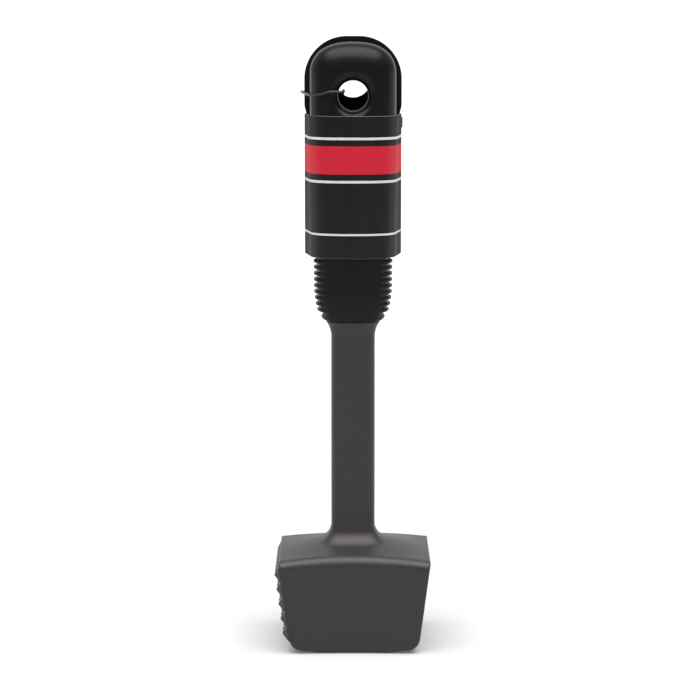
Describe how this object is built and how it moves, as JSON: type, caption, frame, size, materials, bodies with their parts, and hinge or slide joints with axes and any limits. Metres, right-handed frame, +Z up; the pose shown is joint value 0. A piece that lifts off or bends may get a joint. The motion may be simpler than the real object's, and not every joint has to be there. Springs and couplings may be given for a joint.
{
  "type": "meat mallet",
  "caption": "Upright meat mallet: cast block head with a toothed and a plain striking face, flat shaft and soft finned grip with a hang hole, its card sleeve and tie still on the handle.",
  "frame": {"origin": "centre of the flat under the head, below the shaft", "axes": "+Z up the shaft and handle, -X towards the toothed face, +X towards the plain face, -Y to the front"},
  "size_m": [0.0617, 0.0482, 0.242],
  "materials": {
    "casting": "dark grey satin coat on a die casting",
    "core": "plain moulded plastic",
    "pin": "bright ground steel",
    "grip": "soft black moulded rubber, satin",
    "card": "black printed board, satin",
    "band": "glossy black printed board with red and white stripes",
    "tie": "black moulded plastic filament"
  },
  "bodies": {
    "mallet": {"head_casting": "casting", "handle_core": "core", "tang_pin_lower": "pin", "tang_pin_upper": "pin", "grip": "grip"},
    "sleeve": {"backing_card": "card", "wrap_band": "band", "tie_loop": "tie", "tie_lock": "tie"}
  },
  "joints": [
    {"name": "sleeve_slide", "type": "slide", "parent": "mallet", "child": "sleeve", "axis": [0, 0, 1], "range_m": [-0.004, 0.002]}
  ]
}
